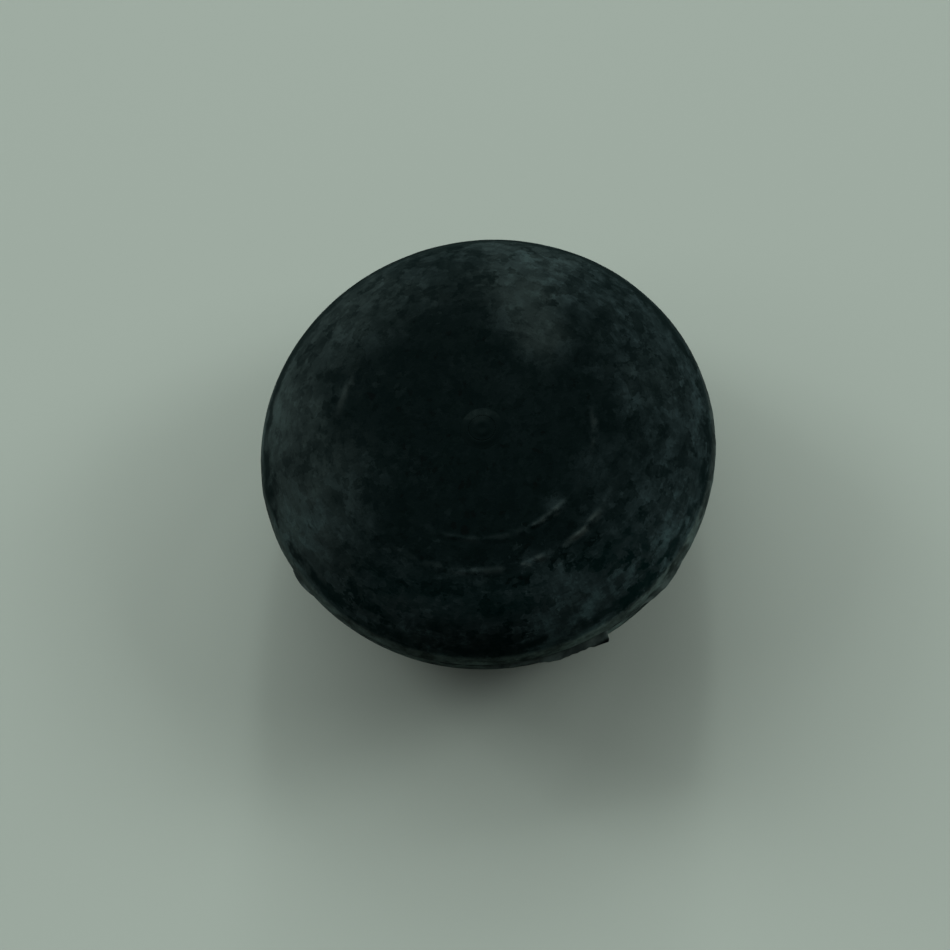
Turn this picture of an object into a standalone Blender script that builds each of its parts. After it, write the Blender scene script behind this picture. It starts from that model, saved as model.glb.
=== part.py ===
"""A flattened, air-filled rubber friction ball for opening screwed watch case backs.

The wall is two moulded halves, bonded at the parting plane by a T-shaped strip. A flanged valve
housing passes through the upper half, over a reinforcing patch, and a stopper closes it.
Metres, +Z up. The origin is the centre of the flat that the ball rests on.
"""

import math

import bpy

# Wall of the ball
RIM_RADIUS = 0.0325          # widest circle, at the parting plane
UPPER_RISE = 0.0080          # dome above the parting plane
LOWER_DROP = 0.0110          # resting flat below the parting plane
FOOT_RADIUS = 0.0160         # resting flat
WALL = 0.0040
FACE_POWER = 5.0             # how flat the faces are before the shoulder turns down
CLEARANCE = 0.0003           # between neighbouring pieces

# Bonding strip at the parting plane
WEB_THICKNESS = 0.0006       # between the edges of the halves
BAR_HALF_HEIGHT = 0.0014     # the bar behind the edges, above and below the plane
BAR_THICKNESS = 0.0012

# Reinforcing patch under the dome
PATCH_RADIUS = 0.0206
PATCH_FLAT_RADIUS = 0.0160   # where its taper starts
PATCH_THICKNESS = 0.0010
PATCH_EDGE = 0.0003

# Valve housing
COLLAR_RADIUS = 0.0029
COLLAR_PROUD = 0.0002        # above the dome
COLLAR_ROUND = 0.0003
FLANGE_RADIUS = 0.0075
FLANGE_THICKNESS = 0.0012
TAIL_LENGTH = 0.0045         # below the flange
TAIL_TAPER = 0.0006
SEAT_RADIUS = 0.0019         # counterbore for the stopper's head
SEAT_DEPTH = 0.0015
BORE_RADIUS = 0.0014

# Stopper
PLUG_HEAD_HEIGHT = 0.0010
PLUG_CROWN = 0.0001
PLUG_TIP_TAPER = 0.0004
PLUG_TIP_LENGTH = 0.0007
PLUG_END_COVER = 0.0010      # length of bore left below the tip

# Finishes: colour and roughness of each kind of rubber
WALL_FINISH = ((0.012, 0.017, 0.017), 0.5)
BOND_FINISH = ((0.020, 0.025, 0.025), 0.6)
PATCH_FINISH = ((0.030, 0.032, 0.032), 0.7)
VALVE_FINISH = ((0.022, 0.028, 0.028), 0.45)

# Facets
WALL_STEPS = 64
PATCH_STEPS = 48
HOUSING_STEPS = 40
PLUG_STEPS = 28
ARC_STEPS = 12
PATCH_ARC_STEPS = 6
BAR_STEPS = 2

# Places worked out from the sizes above, measured from the parting plane
EDGE_OFFSET = WEB_THICKNESS / 2 + CLEARANCE
INNER_RADIUS = RIM_RADIUS - WALL
INNER_RISE = UPPER_RISE - WALL
INNER_DROP = LOWER_DROP - WALL
FULL_DROP = LOWER_DROP / math.sqrt(1.0 - (FOOT_RADIUS / RIM_RADIUS) ** FACE_POWER)
HOLE_RADIUS = COLLAR_RADIUS + CLEARANCE
PATCH_TOP = INNER_RISE - CLEARANCE
FLANGE_TOP = PATCH_TOP - PATCH_THICKNESS - CLEARANCE
FLANGE_BOTTOM = FLANGE_TOP - FLANGE_THICKNESS
TAIL_BOTTOM = FLANGE_BOTTOM - TAIL_LENGTH
COLLAR_TOP = UPPER_RISE + COLLAR_PROUD
SEAT_FLOOR = COLLAR_TOP - SEAT_DEPTH
PLUG_HEAD_RADIUS = SEAT_RADIUS - CLEARANCE
PLUG_SHANK_RADIUS = BORE_RADIUS - CLEARANCE
PLUG_HEAD_BOTTOM = SEAT_FLOOR + CLEARANCE
PLUG_FACE = PLUG_HEAD_BOTTOM + PLUG_HEAD_HEIGHT
PLUG_TIP = TAIL_BOTTOM + PLUG_END_COVER


def height_at(radius, rim, rise):
    """Height of a flattened face above the parting plane at a radius."""
    return rise * math.sqrt(1.0 - (radius / rim) ** FACE_POWER)


def radius_at(height, rim, rise):
    """Radius of a flattened face at a height above the parting plane."""
    return rim * (1.0 - (height / rise) ** 2) ** (1.0 / FACE_POWER)


def face_arc(rim, rise, first_radius, last_height, count=ARC_STEPS):
    """Points (radius, height) from first_radius, near the pole, out to last_height, near the rim."""
    start = math.asin((first_radius / rim) ** (FACE_POWER / 2))
    end = math.acos(last_height / rise)
    angles = [start + (end - start) * step / count for step in range(count + 1)]
    return [(rim * math.sin(a) ** (2 / FACE_POWER), rise * math.cos(a)) for a in angles]


def spread(first, last, count):
    """Evenly spaced values from first to last, both included."""
    return [first + (last - first) * step / count for step in range(count + 1)]


def rubber(name, colour, roughness):
    """Plain rubber material."""
    material = bpy.data.materials.new(name)
    material.use_nodes = True
    shader = material.node_tree.nodes["Principled BSDF"]
    shader.inputs["Base Color"].default_value = (*colour, 1.0)
    shader.inputs["Roughness"].default_value = roughness
    shader.inputs["Metallic"].default_value = 0.0
    return material


def turned(name, profile, steps, finish, parent, closed=True):
    """A solid of revolution about Z. The profile runs down its outer side, top to bottom."""
    mesh = bpy.data.meshes.new(name)
    points = [(radius, 0.0, height) for radius, height in profile]
    edges = [(i, i + 1) for i in range(len(points) - 1)]
    if closed:
        edges.append((len(points) - 1, 0))
    mesh.from_pydata(points, edges, [])
    mesh.materials.append(rubber(name + "_rubber", *finish))
    piece = bpy.data.objects.new(name, mesh)
    piece.parent = parent
    bpy.context.scene.collection.objects.link(piece)
    screw = piece.modifiers.new("Turn", 'SCREW')
    screw.axis = 'Z'
    screw.angle = 2 * math.pi
    screw.steps = steps
    screw.render_steps = steps
    screw.use_merge_vertices = True
    screw.merge_threshold = 0.00001
    screw.use_smooth_shade = True
    return piece


def make_upper_shell(parent):
    """Domed upper half, with a hole at the pole for the valve housing."""
    outside = face_arc(RIM_RADIUS, UPPER_RISE, HOLE_RADIUS, EDGE_OFFSET)
    inside = face_arc(INNER_RADIUS, INNER_RISE, HOLE_RADIUS, EDGE_OFFSET)
    return turned("upper_shell", outside + inside[::-1], WALL_STEPS, WALL_FINISH, parent)


def make_lower_shell(parent):
    """Lower half, cut flat where the ball rests, closed at its pole."""
    outside = face_arc(RIM_RADIUS, FULL_DROP, FOOT_RADIUS, EDGE_OFFSET)
    inside = face_arc(INNER_RADIUS, INNER_DROP, 0.0, EDGE_OFFSET)
    profile = [(radius, -height) for radius, height in inside + outside[::-1]]
    profile.append((0.0, -LOWER_DROP))
    return turned("lower_shell", profile, WALL_STEPS, WALL_FINISH, parent, closed=False)


def make_seam_strip(parent):
    """T-shaped bonding strip: its web lies between the edges, its bar follows the inside of the wall."""
    bar_rim = INNER_RADIUS - CLEARANCE
    rise = INNER_RISE - CLEARANCE
    drop = INNER_DROP - CLEARANCE
    half_web = WEB_THICKNESS / 2
    heights = spread(half_web, BAR_HALF_HEIGHT, BAR_STEPS)
    upper_bar = [(radius_at(z, bar_rim, rise), z) for z in heights]
    lower_bar = [(radius_at(z, bar_rim, drop), -z) for z in heights]
    back = [(radius - BAR_THICKNESS, z) for radius, z in upper_bar + lower_bar[::-1]]
    back.sort(key=lambda point: point[1])
    profile = upper_bar[::-1] + [(RIM_RADIUS, half_web), (RIM_RADIUS, -half_web)] + lower_bar + back
    return turned("seam_strip", profile, WALL_STEPS, BOND_FINISH, parent)


def make_valve_patch(parent):
    """Disc under the dome with a tapered edge."""
    rim = INNER_RADIUS - CLEARANCE
    radii = spread(HOLE_RADIUS, PATCH_RADIUS, PATCH_ARC_STEPS)
    top = [(radius, height_at(radius, rim, PATCH_TOP)) for radius in radii]
    bottom = PATCH_TOP - PATCH_THICKNESS
    underside = [
        (PATCH_RADIUS, top[-1][1] - PATCH_EDGE),
        (PATCH_FLAT_RADIUS, bottom),
        (HOLE_RADIUS, bottom),
    ]
    return turned("valve_patch", top + underside, PATCH_STEPS, PATCH_FINISH, parent)


def make_valve_housing(parent):
    """Socket with a collar proud of the dome, a flange under the patch and a tapered tail."""
    profile = [
        (SEAT_RADIUS, COLLAR_TOP),
        (COLLAR_RADIUS - COLLAR_ROUND, COLLAR_TOP),
        (COLLAR_RADIUS, COLLAR_TOP - COLLAR_ROUND),
        (COLLAR_RADIUS, FLANGE_TOP),
        (FLANGE_RADIUS, FLANGE_TOP),
        (FLANGE_RADIUS, FLANGE_BOTTOM),
        (COLLAR_RADIUS, FLANGE_BOTTOM),
        (COLLAR_RADIUS, TAIL_BOTTOM + TAIL_TAPER),
        (COLLAR_RADIUS - TAIL_TAPER, TAIL_BOTTOM),
        (BORE_RADIUS, TAIL_BOTTOM),
        (BORE_RADIUS, SEAT_FLOOR),
        (SEAT_RADIUS, SEAT_FLOOR),
    ]
    return turned("valve_housing", profile, HOUSING_STEPS, VALVE_FINISH, parent)


def make_valve_plug(parent):
    """Stopper: a crowned head in the counterbore and a tapered shank in the bore."""
    profile = [
        (0.0, PLUG_FACE),
        (PLUG_HEAD_RADIUS, PLUG_FACE - PLUG_CROWN),
        (PLUG_HEAD_RADIUS, PLUG_HEAD_BOTTOM),
        (PLUG_SHANK_RADIUS, PLUG_HEAD_BOTTOM),
        (PLUG_SHANK_RADIUS, PLUG_TIP + PLUG_TIP_LENGTH),
        (PLUG_SHANK_RADIUS - PLUG_TIP_TAPER, PLUG_TIP),
        (0.0, PLUG_TIP),
    ]
    return turned("valve_plug", profile, PLUG_STEPS, VALVE_FINISH, parent, closed=False)


def main():
    """Clear the scene, then build every piece round the parting plane."""
    for old in list(bpy.data.objects):
        bpy.data.objects.remove(old)
    parting_plane = bpy.data.objects.new("parting_plane", None)
    parting_plane.location = (0.0, 0.0, LOWER_DROP)
    bpy.context.scene.collection.objects.link(parting_plane)

    make_upper_shell(parting_plane)
    make_lower_shell(parting_plane)
    make_seam_strip(parting_plane)
    make_valve_patch(parting_plane)
    make_valve_housing(parting_plane)
    make_valve_plug(parting_plane)


main()
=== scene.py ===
"""Detailed visual model of a flattened, air-filled rubber friction ball, with its camera and light.

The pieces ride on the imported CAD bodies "ball" and "plug". Metres, +Z up, in the frame of the CAD.
"""

import math

import bpy
from mathutils import Matrix, Vector, noise


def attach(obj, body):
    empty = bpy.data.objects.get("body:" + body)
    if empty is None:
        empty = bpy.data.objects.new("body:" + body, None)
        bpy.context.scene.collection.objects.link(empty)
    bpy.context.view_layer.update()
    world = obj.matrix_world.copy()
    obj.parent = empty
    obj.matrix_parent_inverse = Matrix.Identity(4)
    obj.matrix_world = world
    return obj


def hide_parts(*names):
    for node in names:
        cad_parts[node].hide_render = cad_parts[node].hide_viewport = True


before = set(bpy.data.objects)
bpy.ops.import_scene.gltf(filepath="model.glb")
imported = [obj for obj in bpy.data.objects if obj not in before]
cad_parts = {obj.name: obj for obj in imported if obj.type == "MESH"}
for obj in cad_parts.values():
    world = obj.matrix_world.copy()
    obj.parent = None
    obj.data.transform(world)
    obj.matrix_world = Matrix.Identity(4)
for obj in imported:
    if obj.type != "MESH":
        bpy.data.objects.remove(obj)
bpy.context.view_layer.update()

MM = 0.001

# Wall of the ball, as in the CAD part
RIM_RADIUS = 32.5 * MM
UPPER_RISE = 8.0 * MM
LOWER_DROP = 11.0 * MM
FOOT_RADIUS = 16.0 * MM
WALL = 4.0 * MM
FACE_POWER = 5.0
PLANE = Vector((0.0, 0.0, LOWER_DROP))   # centre of the parting plane

# Detail of the wall
HOLE_RADIUS = 2.93 * MM         # in the upper half, round the valve
EDGE_GAP = 0.17 * MM            # from the parting plane to the edge of each half
EDGE_ROUND = 0.15 * MM
RING_RADII = (16.0 * MM, 20.6 * MM)
RING_CENTRE = (-0.3 * MM, -0.6 * MM)   # they lie a little off the axis
RING_WIDTH = 0.36 * MM
RING_HEIGHT = 0.03 * MM
GROOVE_HEIGHT = 3.3 * MM        # trimmed line round the shoulder, above the parting plane
GROOVE_WANDER = 0.5 * MM
GROOVE_WIDTH = 0.3 * MM
GROOVE_DEPTH = 0.05 * MM
WAVE_HEIGHT = 0.07 * MM         # broad dents
WAVE_LENGTH = 9.0 * MM
RIPPLE_HEIGHT = 0.016 * MM      # small unevenness
RIPPLE_LENGTH = 2.2 * MM

# Clearer stretches of the two rings: (ring, from, to, height), angles in degrees from +X
RING_MARKS = (
    (0, -79.0, -56.0, 0.18 * MM),
    (0, -120.0, -80.0, 0.09 * MM),
    (0, -25.0, -1.0, 0.12 * MM),
    (1, -66.0, -49.0, 0.18 * MM),
    (1, -83.0, -76.0, 0.15 * MM),
    (1, -112.0, -94.0, 0.1 * MM),
    (1, 141.0, 162.0, 0.06 * MM),
)

# Torn flash at the parting line: (from, to, height, torn end), angles in degrees from +X
FLASH_LOBES = (
    (-59.5, -44.5, 0.50 * MM, 0.0),
    (-96.0, -71.0, 0.78 * MM, 1.0),
    (-104.0, -92.0, 0.33 * MM, 0.0),
    (-160.0, -151.0, 0.34 * MM, 0.0),
)
FLASH_BASE = 0.06 * MM
FLASH_ROUGH = 0.07 * MM
FLASH_HALF = 0.14 * MM          # half thickness at its root
FLASH_TIP = 0.06 * MM
FLASH_FLARE = 0.5               # how much further a torn end stands out
FLASH_DROOP = 0.25              # how far its edge hangs, as a share of its height
BAR_OUTER = 28.1 * MM
BAR_INNER = 27.0 * MM
BAR_HALF = 1.4 * MM

# Valve
COLLAR_TOP = UPPER_RISE + 0.12 * MM
COLLAR_RADIUS = 2.9 * MM
COLLAR_CROWN = 2.0 * MM         # where it starts to slope down
LIP_RADIUS = 3.05 * MM          # thin edge that covers the hole
SEAT_RADIUS = 1.9 * MM
SEAT_FLOOR = UPPER_RISE - 1.3 * MM
BORE_RADIUS = 1.4 * MM
FLANGE_RADIUS = 7.5 * MM
FLANGE_TOP = 2.4 * MM
FLANGE_BOTTOM = 1.2 * MM
TAIL_BOTTOM = -3.3 * MM
TAIL_TAPER = 0.6 * MM
PLUG_HEAD_RADIUS = 1.88 * MM
PLUG_SHANK_RADIUS = 1.1 * MM
PLUG_HEAD_BOTTOM = SEAT_FLOOR + 0.25 * MM
PLUG_FACE = COLLAR_TOP + 0.08 * MM
PLUG_TIP = -2.3 * MM

# Rubber: dark and smooth where it is handled, dull and dusty elsewhere; some colours below paint light, shade or
# reflection, as noted
GLOSS = 0.72
DULL = 0.8
SPECULAR = 0.02
WALL_DARK = (0.0003, 0.0032, 0.0030)
# Painted fill: the dark rubber made lighter on the front shoulder, which the lamps leave in shade
WALL_PAINTED_FILL = (0.0012, 0.0085, 0.0080)    # the same on the front shoulder
WALL_WARM = (0.0119, 0.0200, 0.0187)   # dust at the left
WALL_COOL = (0.0102, 0.0192, 0.0194)   # dust at the right
BOND_DARK = (0.0030, 0.0054, 0.0052)
# Pale dust on the flash, raised as painted light where it lies in the ball's shadow
BOND_DUST_AND_PAINTED_LIGHT = (0.0680, 0.0990, 0.0900)
WALL_SHEEN_TINT = (0.0132, 0.0200, 0.0182)   # tint of the painted floor reflection in the band at the rim, and of the painted ring highlights
REFLECTION_BAND_HEIGHT = 2.4 * MM                 # band of painted floor reflection below the groove
POLE_SOFT = 9.0 * MM                   # keeps stretched marks from meeting at the pole

# Soft pale patches, partly dust and partly painted highlights of the lamps on the back, left and right
# shoulders: place across the ball, radius, strength
DUST_AND_HIGHLIGHT_PATCHES = (
    (8.0 * MM, 6.0 * MM, 17.0 * MM, 0.1),
    (7.4 * MM, -13.5 * MM, 2.6 * MM, 0.6),
    (2.2 * MM, -20.5 * MM, 2.6 * MM, 0.6),
    (15.0 * MM, -10.0 * MM, 7.0 * MM, 0.35),
    (24.0 * MM, 2.0 * MM, 9.0 * MM, 0.4),
    (11.3 * MM, 11.8 * MM, 6.0 * MM, 1.4),
    (9.0 * MM, 17.5 * MM, 8.0 * MM, 0.9),
    (12.5 * MM, 23.5 * MM, 11.0 * MM, 0.7),
    (-15.0 * MM, 23.0 * MM, 13.0 * MM, 0.4),
    (-30.0 * MM, 10.0 * MM, 12.0 * MM, 1.9),
    (-21.5 * MM, -2.0 * MM, 11.0 * MM, 0.72),
    (-30.0 * MM, -8.0 * MM, 11.0 * MM, 2.0),
    (-25.0 * MM, -15.0 * MM, 8.0 * MM, 0.4),
    (30.0 * MM, -5.0 * MM, 12.0 * MM, 0.45),
    (24.0 * MM, -19.0 * MM, 11.0 * MM, 1.0),
    (6.5 * MM, -29.0 * MM, 10.0 * MM, 2.0),
)

# Where a ring is painted pale as a highlight, where its crest catches the lamps: (ring, place across the ball,
# radius, strength)
RING_HIGHLIGHT_SPOTS = (
    (0, 6.4 * MM, -15.0 * MM, 4.2 * MM, 0.85),
    (0, 15.3 * MM, -3.8 * MM, 3.8 * MM, 0.6),
    (1, 10.8 * MM, -17.9 * MM, 3.9 * MM, 0.95),
    (1, 2.1 * MM, -20.9 * MM, 2.2 * MM, 1.1),
    (1, -18.0 * MM, 10.0 * MM, 4.0 * MM, 0.5),
)

# Facets
SHARP_ANGLE = math.radians(40.0)
WALL_STEPS = 480
FLASH_STEPS = 1080
VALVE_STEPS = 96
FINE = 0.35 * MM
COARSE = 2.5 * MM

# Camera, fitted to the outline: distance from the rim's centre, elevation, roll and framing
CAMERA_DISTANCE = 16.0 * RIM_RADIUS
CAMERA_ELEVATION = math.radians(67.38)
CAMERA_ROLL = math.radians(13.1)
CAMERA_ANGLE = math.radians(14.844)
CAMERA_SHIFT = (-0.01274, -0.02684)

# Lamps: azimuth from +Y towards +X, elevation, half width and half height as seen from the ball,
# all in degrees, and share of the light
LAMPS = (
    ("strip_right", 78.0, 12.0, 8.0, 11.0, 0.087),
    ("strip_back", 15.0, 13.0, 3.0, 12.0, 0.092),
    ("strip_left", -45.0, 12.5, 9.0, 11.5, 0.118),
    ("lamp_right", 74.0, 24.0, 25.0, 7.0, 0.218),
    ("lamp_back", 0.0, 26.0, 38.0, 10.0, 0.455),
    ("lamp_left", -58.0, 24.0, 26.0, 9.0, 0.119),
)
LAMP_DISTANCE = 6.0
ROOM_LEVEL = 0.08               # world at the horizon
SKY_LEVEL = 0.03                # world overhead
FLOOR_COLOUR = (0.356, 0.423, 0.371)
FLOOR_SIZE = 6.0


def face_normal(radius, height, rim, rise):
    """Outward direction (radial, axial) of a flattened face."""
    radial = FACE_POWER * radius ** (FACE_POWER - 1.0) / rim ** FACE_POWER
    axial = 2.0 * height / rise ** 2
    size = math.hypot(radial, axial)
    return radial / size, axial / size


def near_detail(radius, height):
    """Whether a point of the upper face lies on a ring or in the groove."""
    if abs(height - GROOVE_HEIGHT) < GROOVE_WANDER + 2.0 * GROOVE_WIDTH:
        return True
    reach = 3.0 * RING_WIDTH + math.hypot(*RING_CENTRE)
    return any(abs(radius - ring) < reach for ring in RING_RADII)


def face_curve(rim, rise, first_radius, last_height, spacing, detailed=False):
    """Points (radius, height) from near the pole to near the rim, about evenly spaced along the curve."""
    start = math.asin((first_radius / rim) ** (FACE_POWER / 2.0))
    end = math.acos(last_height / rise)
    count = 4000
    points = []
    for step in range(count + 1):
        angle = start + (end - start) * step / count
        points.append((rim * math.sin(angle) ** (2.0 / FACE_POWER), rise * math.cos(angle)))
    kept = [points[0]]
    for point in points[1:-1]:
        wanted = spacing / 4.0 if detailed and near_detail(*point) else spacing
        if math.dist(point, kept[-1]) >= wanted:
            kept.append(point)
    if math.dist(points[-1], kept[-1]) < 0.3 * spacing:
        kept.pop()
    kept.append(points[-1])
    return kept


def make_piece(name, points, faces, body, material, replaced):
    """Mesh object in the row frame, smooth shaded, that rides on a body."""
    mesh = bpy.data.meshes.new(name)
    mesh.from_pydata(points, [], faces)
    mesh.materials.append(material)
    mesh.polygons.foreach_set("use_smooth", [True] * len(mesh.polygons))
    mesh.set_sharp_from_angle(angle=SHARP_ANGLE)
    mesh.update()
    piece = bpy.data.objects.new(name, mesh)
    bpy.context.scene.collection.objects.link(piece)
    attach(piece, body)
    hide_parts(replaced)
    return piece


def lathe(profile, steps, relief=None):
    """Points and faces of a body of revolution.

    The profile runs clockwise seen with the axis on the left. If it starts and ends on the axis it is
    left open there, otherwise its ends are joined. relief(radius, height, angle, index) gives the moved
    (radius, height) of a point.
    """
    poles = profile[0][0] < 1e-9 and profile[-1][0] < 1e-9
    ring = profile[1:-1] if poles else profile
    count = len(ring)
    points = []
    for step in range(steps):
        angle = 2.0 * math.pi * step / steps
        for index, (radius, height) in enumerate(ring):
            if relief:
                radius, height = relief(radius, height, angle, index)
            points.append((radius * math.cos(angle), radius * math.sin(angle), height + LOWER_DROP))
    faces = []
    for step in range(steps):
        here = step * count
        there = (step + 1) % steps * count
        for index in range(count if not poles else count - 1):
            after = (index + 1) % count
            faces.append((here + index, here + after, there + after, there + index))
    if poles:
        first = len(points)
        points.append((0.0, 0.0, profile[0][1] + LOWER_DROP))
        points.append((0.0, 0.0, profile[-1][1] + LOWER_DROP))
        for step in range(steps):
            here = step * count
            there = (step + 1) % steps * count
            faces.append((first, here, there))
            faces.append((here + count - 1, first + 1, there + count - 1))
    return points, faces


def smooth(value, low, high):
    """Smooth step from 0 at low to 1 at high."""
    share = min(1.0, max(0.0, (value - low) / (high - low)))
    return share * share * (3.0 - 2.0 * share)


def bell(value, centre, width):
    """Bell curve of height 1."""
    return math.exp(-((value - centre) / width) ** 2)


def wave(x, y, z, length, seed):
    """Smooth noise from about -1 to 1 with bumps of about that length."""
    return noise.noise(Vector((x / length + seed, y / length - seed, z / length + 0.5 * seed)))


def ring_relief(radius, angle):
    """Height of the two broken rings above the face."""
    degrees = (math.degrees(angle) + 180.0) % 360.0 - 180.0
    x = math.cos(angle)
    y = math.sin(angle)
    radius = math.hypot(radius * x - RING_CENTRE[0], radius * y - RING_CENTRE[1])
    out = 0.0
    for index, ring in enumerate(RING_RADII):
        crest = ring + 0.25 * MM * wave(x, y, 0.0, 0.2, 11.3 + index)
        height = RING_HEIGHT * smooth(wave(x, y, 0.0, 0.4, 31.0 + index), -0.2, 0.4)
        width = RING_WIDTH
        for marked, low, high, extra in RING_MARKS:
            if marked == index and low < degrees < high:
                ends = smooth(degrees, low, low + 3.0) * (1.0 - smooth(degrees, high - 2.0, high))
                height += extra * ends * (0.7 + 0.6 * wave(x, y, 0.0, 0.08, 41.0 + index))
                width *= 0.8 + 0.9 * (degrees - low) / (high - low)
        out += height * bell(radius, crest, width)
    return out


def wall_relief(radius, height, angle):
    """How far the outside of the wall stands out from its nominal face: dents, ripple and rings."""
    x = radius * math.cos(angle)
    y = radius * math.sin(angle)
    shoulder = smooth(radius, 0.55 * RIM_RADIUS, 0.9 * RIM_RADIUS)
    out = WAVE_HEIGHT * (0.5 + 0.5 * shoulder) * wave(x, y, height, WAVE_LENGTH, 3.1)
    out += RIPPLE_HEIGHT * (0.4 + 0.8 * shoulder) * wave(x, y, height, RIPPLE_LENGTH, 7.7)
    if height > 0.0:
        out += ring_relief(radius, angle)
        line = GROOVE_HEIGHT + GROOVE_WANDER * wave(x, y, 0.0, 2.5 * MM, 17.0)
        depth = GROOVE_DEPTH * (0.75 + 0.5 * wave(x, y, 0.0, 3.5 * MM, 19.0))
        out -= depth * bell(height, line, GROOVE_WIDTH)
    return out


def edge_round(points, side):
    """Adds a small round where a half meets the parting line, then the land back to the inside."""
    radius, height = points[-1]
    return [
        (radius - 0.3 * EDGE_ROUND, side * (EDGE_GAP + 0.3 * EDGE_ROUND)),
        (radius - EDGE_ROUND, side * EDGE_GAP),
    ]


def upper_half(material):
    """Domed upper half of the wall, with the hole for the valve."""
    last = EDGE_GAP + EDGE_ROUND
    outside = face_curve(RIM_RADIUS, UPPER_RISE, HOLE_RADIUS, last, FINE, detailed=True)
    inside = face_curve(RIM_RADIUS - WALL, UPPER_RISE - WALL, HOLE_RADIUS, EDGE_GAP, COARSE)
    profile = outside + edge_round(outside, 1.0) + inside[::-1]
    count = len(outside)

    def relief(radius, height, angle, index):
        if index >= count:
            return radius, height
        fade = smooth(radius, HOLE_RADIUS, 1.6 * HOLE_RADIUS) * smooth(height, EDGE_GAP, 1.2 * MM)
        out = fade * wall_relief(radius, height, angle)
        radial, axial = face_normal(radius, height, RIM_RADIUS, UPPER_RISE)
        return radius + out * radial, height + out * axial

    points, faces = lathe(profile, WALL_STEPS, relief)
    return make_piece("upper_half", points, faces, "ball", material, "upper_shell")


def lower_half(material):
    """Lower half of the wall, flat where the ball rests."""
    full_drop = LOWER_DROP / math.sqrt(1.0 - (FOOT_RADIUS / RIM_RADIUS) ** FACE_POWER)
    last = EDGE_GAP + EDGE_ROUND
    outside = face_curve(RIM_RADIUS, full_drop, FOOT_RADIUS, last, 0.5 * MM)
    inside = face_curve(RIM_RADIUS - WALL, LOWER_DROP - WALL, 0.0, EDGE_GAP, COARSE)
    land = edge_round([(radius, -height) for radius, height in outside], -1.0)
    foot = [(FOOT_RADIUS * share, -LOWER_DROP) for share in (0.75, 0.5, 0.25, 0.0)]
    profile = [(radius, -height) for radius, height in inside]
    profile += land[::-1]
    first = len(profile) - 1
    profile += [(radius, -height) for radius, height in outside[::-1]]
    final = len(profile) - 1
    profile += foot

    def relief(radius, height, angle, index):
        if index < first or index >= final:
            return radius, height
        fade = smooth(-height, EDGE_GAP, 1.2 * MM) * smooth(height, -LOWER_DROP, -LOWER_DROP + 1.0 * MM)
        out = fade * wall_relief(radius, height, angle)
        radial, axial = face_normal(radius, -height, RIM_RADIUS, full_drop)
        return radius + out * radial, height - out * axial

    points, faces = lathe(profile, WALL_STEPS, relief)
    return make_piece("lower_half", points, faces, "ball", material, "lower_shell")


def flash_height(angle):
    """How far the torn flash stands out from the rim at an angle."""
    degrees = math.degrees(angle)
    degrees = (degrees + 180.0) % 360.0 - 180.0
    x = RIM_RADIUS * math.cos(angle)
    y = RIM_RADIUS * math.sin(angle)
    out = FLASH_BASE + FLASH_ROUGH * wave(x, y, 0.0, 1.6 * MM, 21.0)
    for low, high, height, torn in FLASH_LOBES:
        if low < degrees < high:
            share = (degrees - low) / (high - low)
            round_end = math.sin(math.pi * share) ** 0.6
            torn_end = smooth(share, 0.0, 0.45) * (1.0 - smooth(share, 0.965, 1.0))
            lobe = torn * torn_end + (1.0 - torn) * round_end
            ragged = 1.0 + 0.25 * wave(x, y, 0.0, 0.9 * MM, 5.0)
            flare = 1.0 + torn * FLASH_FLARE * smooth(share, 0.7, 0.96)
            out += height * lobe * ragged * flare
    return max(0.015 * MM, out)


def seam_flash(material):
    """Bonding strip: the bar behind the joint, its web, and the torn flash outside."""
    shares = (0.0, 0.25, 0.5, 0.7, 0.85, 1.0)
    web_start = RIM_RADIUS - 1.2 * MM
    top = [(web_start, FLASH_HALF)] + [(RIM_RADIUS, FLASH_HALF)] * len(shares)
    bottom = [(radius, -height) for radius, height in top]
    profile = [(BAR_INNER, BAR_HALF), (BAR_OUTER, BAR_HALF), (BAR_OUTER, FLASH_HALF)]
    profile += top
    first = len(profile) - len(shares)
    profile += bottom[::-1]
    profile += [(BAR_OUTER, -FLASH_HALF), (BAR_OUTER, -BAR_HALF), (BAR_INNER, -BAR_HALF)]
    outline = [flash_height(2.0 * math.pi * step / FLASH_STEPS) for step in range(FLASH_STEPS)]
    root = RIM_RADIUS - 0.2 * MM

    def relief(radius, height, angle, index):
        last = first + 2 * len(shares)
        if index < first or index >= last:
            return radius, height
        place = index - first
        share = shares[place] if place < len(shares) else shares[last - 1 - index]
        step = round(angle / (2.0 * math.pi) * FLASH_STEPS) % FLASH_STEPS
        reach = 0.2 * MM + outline[step]
        half = FLASH_HALF + (FLASH_TIP - FLASH_HALF) * share
        flutter = 0.3 * wave(math.cos(angle), math.sin(angle), 0.0, 0.13, 9.0)
        curl = outline[step] * (flutter * share - FLASH_DROOP * share ** 3)
        return root + reach * share, math.copysign(half, height) + curl

    points, faces = lathe(profile, FLASH_STEPS, relief)
    return make_piece("seam_flash", points, faces, "ball", material, "seam_strip")


def rounded(foot, crest, count):
    """Points from a foot up to a crest on a soft S-shaped slope."""
    points = []
    for step in range(count + 1):
        share = step / count
        rise = smooth(share, 0.0, 1.0)
        points.append((foot[0] + (crest[0] - foot[0]) * share, foot[1] + (crest[1] - foot[1]) * rise))
    return points


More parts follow.
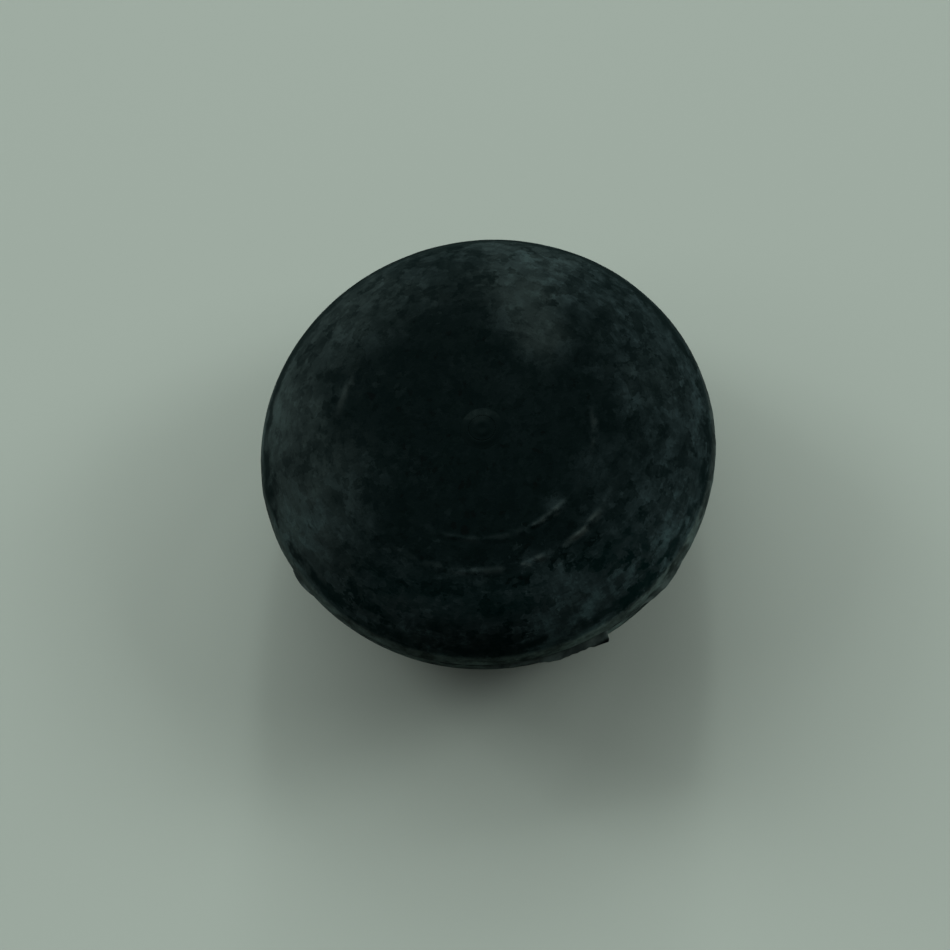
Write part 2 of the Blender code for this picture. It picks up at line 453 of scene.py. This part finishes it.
def valve_collar(material):
    """Valve housing: a low rounded collar on the dome, a flange inside and a tapered tail."""
    dome = UPPER_RISE + 0.01 * MM
    profile = [
        (BORE_RADIUS, SEAT_FLOOR),
        (SEAT_RADIUS, SEAT_FLOOR),
    ]
    profile += rounded((SEAT_RADIUS, COLLAR_TOP - 0.02 * MM), (COLLAR_CROWN, COLLAR_TOP), 3)
    profile += rounded((LIP_RADIUS, dome), (COLLAR_CROWN, COLLAR_TOP), 8)[-2::-1]
    profile += [
        (COLLAR_RADIUS, dome - 0.02 * MM),
        (COLLAR_RADIUS, FLANGE_TOP),
        (FLANGE_RADIUS, FLANGE_TOP),
        (FLANGE_RADIUS, FLANGE_BOTTOM),
        (COLLAR_RADIUS, FLANGE_BOTTOM),
        (COLLAR_RADIUS, TAIL_BOTTOM + TAIL_TAPER),
        (COLLAR_RADIUS - TAIL_TAPER, TAIL_BOTTOM),
        (BORE_RADIUS, TAIL_BOTTOM),
    ]
    points, faces = lathe(profile, VALVE_STEPS)
    return make_piece("valve_collar", points, faces, "ball", material, "valve_housing")


def valve_stopper(material):
    """Stopper: a crowned head with a shallow dimple, a straight shank and a tapered tip."""
    crest = (0.8 * MM, PLUG_FACE)
    brow = (1.55 * MM, COLLAR_TOP)
    profile = rounded((0.0, PLUG_FACE - 0.05 * MM), crest, 6)
    profile += rounded(brow, crest, 8)[-2::-1]
    profile += [
        (PLUG_HEAD_RADIUS - 0.05 * MM, COLLAR_TOP),
        (PLUG_HEAD_RADIUS, COLLAR_TOP - 0.05 * MM),
        (PLUG_HEAD_RADIUS, PLUG_HEAD_BOTTOM),
        (PLUG_SHANK_RADIUS, PLUG_HEAD_BOTTOM),
        (PLUG_SHANK_RADIUS, PLUG_TIP + 0.7 * MM),
        (PLUG_SHANK_RADIUS - 0.4 * MM, PLUG_TIP),
        (0.0, PLUG_TIP),
    ]
    points, faces = lathe(profile, VALVE_STEPS)
    return make_piece("valve_stopper", points, faces, "plug", material, "valve_plug")


class Nodes:
    """Short calls for building a node material."""

    def __init__(self, name):
        self.material = bpy.data.materials.new(name)
        self.material.use_nodes = True
        self.tree = self.material.node_tree
        self.shader = self.tree.nodes["Principled BSDF"]

    def link(self, source, target):
        self.tree.links.new(source, target)

    def feed(self, socket, value):
        if isinstance(value, bpy.types.NodeSocket):
            self.link(value, socket)
        else:
            socket.default_value = value

    def place(self):
        return self.tree.nodes.new("ShaderNodeTexCoord").outputs["Object"]

    def math(self, operation, first, second=0.0, third=0.0):
        node = self.tree.nodes.new("ShaderNodeMath")
        node.operation = operation
        for socket, value in zip(node.inputs, (first, second, third)):
            self.feed(socket, value)
        return node.outputs[0]

    def vector(self, operation, first, second=(0.0, 0.0, 0.0)):
        node = self.tree.nodes.new("ShaderNodeVectorMath")
        node.operation = operation
        self.feed(node.inputs[0], first)
        self.feed(node.inputs[1], second)
        return node.outputs["Value"] if operation in ("LENGTH", "DISTANCE") else node.outputs["Vector"]

    def noise(self, place, scale, detail=3.0, rough=0.55):
        node = self.tree.nodes.new("ShaderNodeTexNoise")
        self.link(place, node.inputs["Vector"])
        node.inputs["Scale"].default_value = scale
        node.inputs["Detail"].default_value = detail
        node.inputs["Roughness"].default_value = rough
        return node.outputs["Fac"]

    def cells(self, place, scale, fray):
        """A random value from 0 to 1 for each cell of a pattern of flakes with frayed edges."""
        node = self.tree.nodes.new("ShaderNodeTexNoise")
        self.link(place, node.inputs["Vector"])
        node.inputs["Scale"].default_value = 1.7 * scale
        node.inputs["Detail"].default_value = 2.0
        shift = self.vector("SUBTRACT", node.outputs["Color"], (0.5, 0.5, 0.5))
        shift = self.vector("MULTIPLY", shift, (fray / scale,) * 3)
        cell = self.tree.nodes.new("ShaderNodeTexVoronoi")
        self.link(self.vector("ADD", place, shift), cell.inputs["Vector"])
        cell.inputs["Scale"].default_value = scale
        return cell.outputs["Color"]

    def ramp(self, value, low, high, start=0.0, end=1.0):
        node = self.tree.nodes.new("ShaderNodeMapRange")
        node.interpolation_type = 'SMOOTHSTEP'
        self.feed(node.inputs["Value"], value)
        node.inputs["From Min"].default_value = low
        node.inputs["From Max"].default_value = high
        node.inputs["To Min"].default_value = start
        node.inputs["To Max"].default_value = end
        return node.outputs["Result"]

    def mix(self, factor, first, second):
        node = self.tree.nodes.new("ShaderNodeMix")
        node.data_type = 'RGBA'
        sockets = {socket.identifier: socket for socket in node.inputs}
        self.feed(sockets["Factor_Float"], factor)
        self.feed(sockets["A_Color"], first)
        self.feed(sockets["B_Color"], second)
        return next(socket for socket in node.outputs if socket.identifier == "Result_Color")

    def polar(self, place, turns, steps):
        """Coordinates for marks that are stretched round the axis: angle and distance from the pole."""
        flat = self.vector("MULTIPLY", place, (1.0, 1.0, 0.0))
        radius = self.vector("LENGTH", flat)
        around = self.vector("SCALE", flat)
        self.link(self.math("DIVIDE", turns, self.math("ADD", radius, POLE_SOFT)), around.node.inputs["Scale"])
        split = self.tree.nodes.new("ShaderNodeSeparateXYZ")
        self.link(place, split.inputs[0])
        out = self.math("SUBTRACT", radius, split.outputs["Z"])
        combine = self.tree.nodes.new("ShaderNodeCombineXYZ")
        self.link(self.math("MULTIPLY", out, steps), combine.inputs["Z"])
        return self.vector("ADD", around, combine.outputs[0])

    def bump(self, height, strength, distance):
        node = self.tree.nodes.new("ShaderNodeBump")
        node.inputs["Strength"].default_value = strength
        node.inputs["Distance"].default_value = distance
        self.link(height, node.inputs["Height"])
        self.link(node.outputs["Normal"], self.shader.inputs["Normal"])


def rubber(name, dark, pale, gloss, dull, painted_light_at_back=False):
    """Plain moulded rubber: dark, with pale bloom in blotches and specks, and optionally a painted highlight,
    paler at its back, the side that faces the lamps.
    """
    nodes = Nodes(name)
    place = nodes.place()
    blotch = nodes.ramp(nodes.noise(place, 420.0, 4.0), 0.42, 0.66)
    speck = nodes.ramp(nodes.noise(place, 1400.0, 2.0), 0.62, 0.78)
    dust_and_painted_light = nodes.math("MULTIPLY_ADD", blotch, 0.6, 0.15)
    dust_and_painted_light = nodes.math("MULTIPLY_ADD", speck, 0.25, dust_and_painted_light)
    if painted_light_at_back:
        split = nodes.tree.nodes.new("ShaderNodeSeparateXYZ")
        nodes.link(place, split.inputs[0])
        # Painted highlight: more pale towards the back, where the lamps light the valve
        back = nodes.ramp(split.outputs["Y"], 0.2 * COLLAR_RADIUS, 0.8 * COLLAR_RADIUS, 0.1, 1.3)
        dust_and_painted_light = nodes.math("MULTIPLY", dust_and_painted_light, back)
    nodes.link(nodes.mix(dust_and_painted_light, (*dark, 1.0), (*pale, 1.0)), nodes.shader.inputs["Base Color"])
    nodes.link(nodes.ramp(dust_and_painted_light, 0.0, 1.0, gloss, dull), nodes.shader.inputs["Roughness"])
    nodes.shader.inputs["Specular IOR Level"].default_value = SPECULAR
    nodes.bump(nodes.noise(place, 2600.0, 2.0), 0.25, 0.05 * MM)
    return nodes.material


def flash_rubber():
    """Rubber of the bonding strip: dusty, made paler as painted light where the ball shades it, with painted
    shade at its torn edge.
    """
    nodes = Nodes("bond_rubber")
    place = nodes.place()
    radius = nodes.vector("LENGTH", nodes.vector("MULTIPLY", place, (1.0, 1.0, 0.0)))
    dust_and_sheen = nodes.ramp(nodes.noise(place, 420.0, 4.0), 0.35, 0.65, 0.3, 1.0)
    # Painted shade: the pale fades out towards the tip, standing in for the shaded underside and edge of the
    # flash
    torn = nodes.ramp(radius, RIM_RADIUS + 0.75 * MM, RIM_RADIUS + 1.15 * MM, 1.0, 0.0)
    dust_and_painted_light = nodes.math("MULTIPLY", dust_and_sheen, torn)
    nodes.link(nodes.mix(dust_and_painted_light, (*BOND_DARK, 1.0), (*BOND_DUST_AND_PAINTED_LIGHT, 1.0)), nodes.shader.inputs["Base Color"])
    nodes.link(nodes.ramp(dust_and_painted_light, 0.0, 1.0, 0.6, 0.85), nodes.shader.inputs["Roughness"])
    nodes.shader.inputs["Specular IOR Level"].default_value = SPECULAR
    nodes.bump(nodes.noise(place, 2600.0, 2.0), 0.25, 0.05 * MM)
    return nodes.material


def wall_rubber():
    """Rubber of the wall: handled smooth round the pole, dull and dusty outside the outer ring, with painted
    fill, reflection, highlights and shade where noted.
    """
    nodes = Nodes("wall_rubber")
    place = nodes.place()
    flat = nodes.vector("MULTIPLY", place, (1.0, 1.0, 0.0))
    radius = nodes.vector("LENGTH", flat)
    split = nodes.tree.nodes.new("ShaderNodeSeparateXYZ")
    nodes.link(place, split.inputs[0])

    ragged = nodes.math("MULTIPLY_ADD", nodes.noise(place, 260.0, 5.0), 10.0 * MM, radius)
    outer = nodes.ramp(ragged, RING_RADII[1] + 1.5 * MM, RING_RADII[1] + 10.0 * MM)
    front = nodes.ramp(split.outputs["Y"], -0.25 * RIM_RADIUS, -0.8 * RIM_RADIUS)
    broad = nodes.ramp(nodes.noise(place, 130.0, 2.0), 0.36, 0.64)
    cloud = nodes.ramp(nodes.noise(nodes.polar(place, 7.0, 240.0), 1.0, 3.0), 0.38, 0.62)
    patch = nodes.ramp(nodes.noise(nodes.polar(place, 12.0, 480.0), 1.0, 4.0, 0.65), 0.4, 0.6)
    fine = nodes.ramp(nodes.noise(nodes.polar(place, 26.0, 900.0), 1.0, 3.0), 0.42, 0.6)
    light_dash = nodes.ramp(nodes.noise(nodes.polar(place, 11.0, 1500.0), 1.0, 2.0), 0.63, 0.67)
    dark_dash = nodes.ramp(nodes.noise(nodes.polar(place, 12.0, 1300.0), 1.3, 2.0), 0.38, 0.34)

    # Pale patches: dust, and painted highlights of the lamps on the back and side shoulders
    dust_and_highlight = 0.0
    for x, y, reach, strength in DUST_AND_HIGHLIGHT_PATCHES:
        away = nodes.vector("DISTANCE", flat, (x, y, 0.0))
        dust_and_highlight = nodes.math("MULTIPLY_ADD", nodes.ramp(away, reach, 0.0), strength, dust_and_highlight)

    blotchy = nodes.ramp(split.outputs["X"], -0.2 * RIM_RADIUS, 0.6 * RIM_RADIUS, 0.35, 0.75)
    cover = nodes.math("MULTIPLY_ADD", patch, blotchy, 0.14)
    cover = nodes.math("MULTIPLY_ADD", broad, 0.3, cover)
    cover = nodes.math("MULTIPLY_ADD", cloud, 0.35, cover)
    cover = nodes.math("MULTIPLY_ADD", fine, 0.12, cover)
    base = nodes.math("MULTIPLY", outer, nodes.math("MULTIPLY_ADD", front, -0.15, 0.38))
    edge = nodes.ramp(radius, 0.78 * RIM_RADIUS, 0.92 * RIM_RADIUS)
    base = nodes.math("MULTIPLY_ADD", nodes.math("MULTIPLY", edge, front), 0.9, base)
    dust_and_painted_light = nodes.math("MULTIPLY", base, cover)
    even = nodes.math("MULTIPLY_ADD", cover, 0.28, 0.47)
    dust_and_painted_light = nodes.math("MULTIPLY_ADD", dust_and_highlight, even, dust_and_painted_light)
    marks = nodes.math("MULTIPLY", light_dash, nodes.math("MULTIPLY_ADD", outer, 0.15, 0.04))
    dust_and_painted_light = nodes.math("ADD", dust_and_painted_light, marks)
    dust_and_painted_light = nodes.math("MULTIPLY", dust_and_painted_light, nodes.math("MULTIPLY_ADD", dark_dash, -0.3, 1.0))
    flake = nodes.ramp(nodes.cells(nodes.polar(place, 13.0, 520.0), 1.0, 1.6), 0.2, 0.8, -1.0, 1.0)
    chip = nodes.ramp(nodes.cells(place, 850.0, 1.6), 0.2, 0.8, -1.0, 1.0)
    speckle = nodes.math("MULTIPLY_ADD", chip, 0.7, flake)
    uneven = nodes.ramp(split.outputs["X"], -0.3 * RIM_RADIUS, 0.3 * RIM_RADIUS, 0.4, 0.44)
    uneven = nodes.math("MULTIPLY_ADD", front, 0.12, uneven)
    film = nodes.ramp(dust_and_highlight, 0.2, 1.2, 1.0, 0.4)
    uneven = nodes.math("MULTIPLY", uneven, film)
    dust_and_painted_light = nodes.math("MULTIPLY", dust_and_painted_light, nodes.math("MULTIPLY_ADD", speckle, uneven, 1.0))
    streak = nodes.ramp(nodes.noise(nodes.polar(place, 40.0, 160.0), 1.0, 2.0), 0.42, 0.6)
    streak = nodes.math("MULTIPLY", streak, front)
    dust_and_painted_light = nodes.math("MULTIPLY", dust_and_painted_light, nodes.math("MULTIPLY_ADD", streak, -0.25, 1.0))
    grain = nodes.math("MULTIPLY_ADD", nodes.math("MULTIPLY", front, outer), 0.07, 0.03)
    dust_and_painted_light = nodes.math("MULTIPLY_ADD", speckle, grain, dust_and_painted_light)
    dust_and_painted_light = nodes.math("ADD", dust_and_painted_light, 0.012)
    fleck = nodes.cells(nodes.polar(place, 30.0, 1100.0), 1.0, 1.3)
    sparse = nodes.ramp(nodes.noise(place, 160.0, 2.0), 0.45, 0.6)
    sparse = nodes.math("MULTIPLY", sparse, nodes.ramp(radius, 0.15 * RIM_RADIUS, 0.6 * RIM_RADIUS, 0.3, 1.0))
    pale_fleck = nodes.math("MULTIPLY", nodes.ramp(fleck, 0.72, 0.82), sparse)
    dust_and_painted_light = nodes.math("MULTIPLY_ADD", pale_fleck, nodes.math("MULTIPLY_ADD", front, 0.25, 0.22), dust_and_painted_light)
    dust_and_painted_light = nodes.math("MULTIPLY_ADD", nodes.ramp(fleck, 0.22, 0.16), -0.07, dust_and_painted_light)
    # Painted reflection: a pale band on the shoulder below the groove stands in for the floor mirrored there;
    # strongest at the front and weaker at the right, where a lamp lights the rim
    low = nodes.math("SUBTRACT", split.outputs["Z"], LOWER_DROP)
    reflection_band = nodes.ramp(nodes.math("ABSOLUTE", low), REFLECTION_BAND_HEIGHT, 0.7 * REFLECTION_BAND_HEIGHT)
    reflection_strength = nodes.ramp(split.outputs["X"], 0.1 * RIM_RADIUS, 0.7 * RIM_RADIUS, 3.0, 1.7)
    amount = nodes.math("MULTIPLY", cover, nodes.math("MULTIPLY_ADD", front, reflection_strength, 0.4))
    dust_and_painted_light = nodes.math("MULTIPLY_ADD", reflection_band, amount, dust_and_painted_light)
    # Painted shade: the pale colour is left off along a wandering line at the groove, the dark upper edge of the
    # painted reflection; broken by gaps at the front, whole at the back
    wander = nodes.math("MULTIPLY_ADD", nodes.noise(place, 330.0, 5.0), 4.0 * GROOVE_WANDER, low)
    off = nodes.math("ABSOLUTE", nodes.math("SUBTRACT", wander, GROOVE_HEIGHT + 2.0 * GROOVE_WANDER))
    line = nodes.ramp(off, 0.25 * MM, 0.8 * MM, 0.15, 1.0)
    gone = nodes.ramp(nodes.noise(place, 210.0, 4.0), 0.45, 0.57)
    behind = nodes.ramp(split.outputs["Y"], 0.1 * RIM_RADIUS, 0.4 * RIM_RADIUS, 1.0, 0.0)
    gone = nodes.math("MULTIPLY", gone, behind)
    dust_and_painted_light = nodes.math("MULTIPLY", dust_and_painted_light, nodes.math("MAXIMUM", line, gone))
    # Painted highlights along the rings, strongest at the front, where the ring crests face the lamps, and in
    # the listed spots
    ring_highlights = 0.0
    for index, ring in enumerate(RING_RADII):
        ring_highlight_weight = nodes.math("MULTIPLY_ADD", front, 0.6, 0.03)
        for marked, x, y, reach, strength in RING_HIGHLIGHT_SPOTS:
            if marked == index:
                away = nodes.vector("DISTANCE", flat, (x, y, 0.0))
                ring_highlight_weight = nodes.math("MULTIPLY_ADD", nodes.ramp(away, reach, 0.3 * reach), strength, ring_highlight_weight)
        centred = nodes.vector("DISTANCE", flat, (*RING_CENTRE, 0.0))
        aside = nodes.math("ABSOLUTE", nodes.math("SUBTRACT", centred, ring))
        amount = nodes.ramp(nodes.noise(nodes.polar(place, 12.0, 700.0), 1.0, 4.0), 0.38, 0.62)
        amount = nodes.math("MULTIPLY", amount, nodes.ramp(aside, 0.9 * MM, 0.1 * MM))
        ring_highlights = nodes.math("MULTIPLY_ADD", amount, ring_highlight_weight, ring_highlights)
    dust_and_painted_light = nodes.math("ADD", dust_and_painted_light, ring_highlights)

    drift = nodes.math("MULTIPLY_ADD", split.outputs["Y"], -0.8, split.outputs["X"])
    drift = nodes.math("MULTIPLY_ADD", nodes.noise(place, 120.0, 2.0), 2.0 * RIM_RADIUS, drift)
    cool = nodes.ramp(drift, -0.4 * RIM_RADIUS, 1.8 * RIM_RADIUS)
    pale = nodes.math("MULTIPLY", dust_and_highlight, nodes.ramp(split.outputs["Y"], -0.3 * RIM_RADIUS, 0.2 * RIM_RADIUS))
    cool = nodes.math("MULTIPLY_ADD", pale, -0.6, cool)
    cool = nodes.math("MULTIPLY_ADD", flake, 0.2, cool)
    dust_and_sheen = nodes.mix(cool, (*WALL_WARM, 1.0), (*WALL_COOL, 1.0))
    # In the painted reflection band and along the rings the dust colour turns to the tint of the painted
    # reflection and highlights
    dust_and_sheen = nodes.mix(nodes.math("MAXIMUM", reflection_band, ring_highlights), dust_and_sheen, (*WALL_SHEEN_TINT, 1.0))
    # Painted fill: the dark colour lifted on the front shoulder, which gets little light
    painted_fill_mask = nodes.math("MULTIPLY", front, nodes.ramp(radius, 0.62 * RIM_RADIUS, 0.92 * RIM_RADIUS))
    dark = nodes.mix(painted_fill_mask, (*WALL_DARK, 1.0), (*WALL_PAINTED_FILL, 1.0))
    thick = nodes.vector("SCALE", dust_and_sheen)
    nodes.link(nodes.math("MAXIMUM", dust_and_painted_light, 1.0), thick.node.inputs["Scale"])
    colour = nodes.mix(nodes.math("MINIMUM", dust_and_painted_light, 1.0), dark, thick)
    colour.node.clamp_factor = False
    nodes.link(colour, nodes.shader.inputs["Base Color"])
    amount = nodes.math("MULTIPLY_ADD", dust_and_painted_light, 0.5, outer)
    nodes.link(nodes.ramp(amount, 0.0, 1.4, GLOSS, DULL), nodes.shader.inputs["Roughness"])
    nodes.shader.inputs["Specular IOR Level"].default_value = SPECULAR
    grit = nodes.math("MULTIPLY", nodes.math("MULTIPLY", patch, 0.6), outer)
    grit = nodes.math("ADD", grit, nodes.noise(place, 2000.0, 3.0))
    nodes.bump(grit, 0.4, 0.05 * MM)
    return nodes.material


def make_floor():
    """Plain pale floor that takes the shadow."""
    half = FLOOR_SIZE / 2.0
    mesh = bpy.data.meshes.new("floor")
    corners = [(-half, -half, 0.0), (half, -half, 0.0), (half, half, 0.0), (-half, half, 0.0)]
    mesh.from_pydata(corners, [], [(0, 1, 2, 3)])
    nodes = Nodes("floor_paint")
    nodes.shader.inputs["Base Color"].default_value = (*FLOOR_COLOUR, 1.0)
    nodes.shader.inputs["Roughness"].default_value = 0.9
    nodes.shader.inputs["Specular IOR Level"].default_value = 0.0
    mesh.materials.append(nodes.material)
    floor = bpy.data.objects.new("floor", mesh)
    bpy.context.scene.collection.objects.link(floor)


def make_lights():
    """Three soft lamps low behind the ball, and a weak sky that darkens upwards."""
    for name, azimuth, elevation, half_width, half_height, share in LAMPS:
        turn = math.radians(azimuth)
        rise = math.radians(elevation)
        way = Vector((math.sin(turn) * math.cos(rise), math.cos(turn) * math.cos(rise), math.sin(rise)))
        lamp = bpy.data.lights.new(name, 'AREA')
        lamp.shape = 'RECTANGLE'
        lamp.size = 2.0 * LAMP_DISTANCE * math.tan(math.radians(half_width))
        lamp.size_y = 2.0 * LAMP_DISTANCE * math.tan(math.radians(half_height))
        lamp.energy = share * (math.pi * LAMP_DISTANCE) ** 2 / math.sin(rise)
        holder = bpy.data.objects.new(name, lamp)
        holder.location = LAMP_DISTANCE * way
        holder.rotation_euler = way.to_track_quat('Z', 'Y').to_euler()
        bpy.context.scene.collection.objects.link(holder)
    world = bpy.data.worlds.new("sky")
    world.use_nodes = True
    tree = world.node_tree
    way = tree.nodes.new("ShaderNodeSeparateXYZ")
    tree.links.new(tree.nodes.new("ShaderNodeTexCoord").outputs["Generated"], way.inputs[0])
    fall = tree.nodes.new("ShaderNodeMapRange")
    fall.inputs["To Min"].default_value = ROOM_LEVEL
    fall.inputs["To Max"].default_value = SKY_LEVEL
    tree.links.new(way.outputs["Z"], fall.inputs["Value"])
    tree.nodes["Background"].inputs["Color"].default_value = (1.0, 1.0, 1.0, 1.0)
    tree.links.new(fall.outputs["Result"], tree.nodes["Background"].inputs["Strength"])
    bpy.context.scene.world = world


def make_camera():
    """Camera above and in front of the ball, rolled a little."""
    lens = bpy.data.cameras.new("camera")
    lens.sensor_fit = 'HORIZONTAL'
    lens.angle = CAMERA_ANGLE
    lens.shift_x, lens.shift_y = CAMERA_SHIFT
    lens.clip_start = 0.01
    camera = bpy.data.objects.new("camera", lens)
    back = Vector((0.0, -math.cos(CAMERA_ELEVATION), math.sin(CAMERA_ELEVATION)))
    right = Vector((1.0, 0.0, 0.0))
    up = back.cross(right)
    turned_right = right * math.cos(CAMERA_ROLL) - up * math.sin(CAMERA_ROLL)
    turned_up = up * math.cos(CAMERA_ROLL) + right * math.sin(CAMERA_ROLL)
    turn = Matrix((turned_right, turned_up, back)).transposed()
    camera.matrix_world = Matrix.Translation(PLANE + CAMERA_DISTANCE * back) @ turn.to_4x4()
    bpy.context.scene.collection.objects.link(camera)
    bpy.context.scene.camera = camera


def main():
    """Build the pieces, then the floor, lights and camera."""
    wall = wall_rubber()
    bond = flash_rubber()
    valve = rubber("valve_rubber", (0.0003, 0.0032, 0.0030), (0.0065, 0.0125, 0.0115), 0.7, 0.8, painted_light_at_back=True)
    sheet = rubber("patch_rubber", (0.02, 0.022, 0.022), (0.04, 0.042, 0.042), 0.6, 0.8)
    upper_half(wall)
    lower_half(wall)
    seam_flash(bond)
    valve_collar(valve)
    valve_stopper(valve)
    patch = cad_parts["valve_patch"]
    patch.data.materials.clear()
    patch.data.materials.append(sheet)
    make_floor()
    make_lights()
    make_camera()
    bpy.context.scene.view_settings.view_transform = 'Standard'


main()
